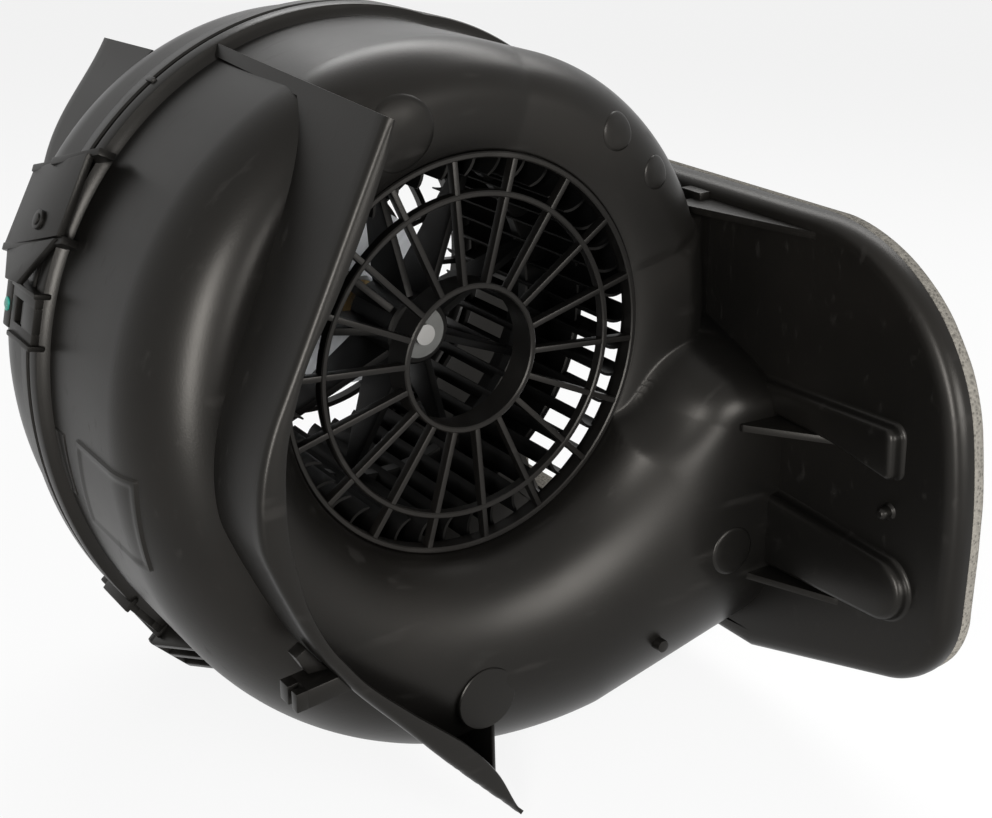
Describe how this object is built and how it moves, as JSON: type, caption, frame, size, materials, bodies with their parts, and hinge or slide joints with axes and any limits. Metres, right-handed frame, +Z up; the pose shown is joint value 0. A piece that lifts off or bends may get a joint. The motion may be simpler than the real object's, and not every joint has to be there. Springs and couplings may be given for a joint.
{
  "type": "cabin blower fan",
  "caption": "Double-inlet cabin blower: two-part scroll housing with sealing fin, outlet flange with foam seal, inlet guards and a squirrel-cage wheel on a motor.",
  "frame": {"origin": "centre of the front air inlet, on the fan axis, at the front inlet plane", "axes": "+X along the outlet, out of the flange; -Y out of the front inlet along the fan axis; +Z up"},
  "size_m": [0.2769, 0.297, 0.2793],
  "materials": {
    "housing_plastic": "satin moulded",
    "guard_plastic": "satin moulded",
    "wheel_plastic": "satin moulded",
    "foam": "open-cell foam",
    "sleeve_rubber": "matt",
    "bush_brass": "sintered",
    "terminal_brass": "tinned",
    "clip_steel": "plated",
    "shaft_steel": "ground",
    "core_steel": "stamped",
    "can_steel": "zinc plated",
    "copper": "enamelled",
    "ferrite": "matt",
    "carbon": "matt",
    "card": "laminate",
    "washer_plastic": "moulded"
  },
  "bodies": {
    "housing": {"front_housing": "housing_plastic", "rear_housing": "housing_plastic", "front_guard": "guard_plastic", "motor_carrier": "guard_plastic", "outlet_seal": "foam", "motor_can": "can_steel", "motor_end_cap": "can_steel", "magnets": "ferrite", "front_bearing": "bush_brass", "rear_bearing": "bush_brass", "brush_card": "card", "brushes": "carbon", "brush_springs": "clip_steel", "terminals": "terminal_brass", "terminal_shroud": "guard_plastic", "motor_sleeve": "sleeve_rubber", "motor_retainer": "clip_steel", "retainer_screws": "clip_steel"},
    "rotor": {"fan_wheel": "wheel_plastic", "hub_bush": "bush_brass", "wheel_clip": "clip_steel", "shaft": "shaft_steel", "armature_core": "core_steel", "windings": "copper", "commutator": "copper", "thrust_washers": "washer_plastic"}
  },
  "joints": [
    {"name": "fan_spin", "type": "hinge", "parent": "housing", "child": "rotor", "pos_m": [0, 0.063, 0], "axis": [0, -1, 0], "continuous": true}
  ]
}
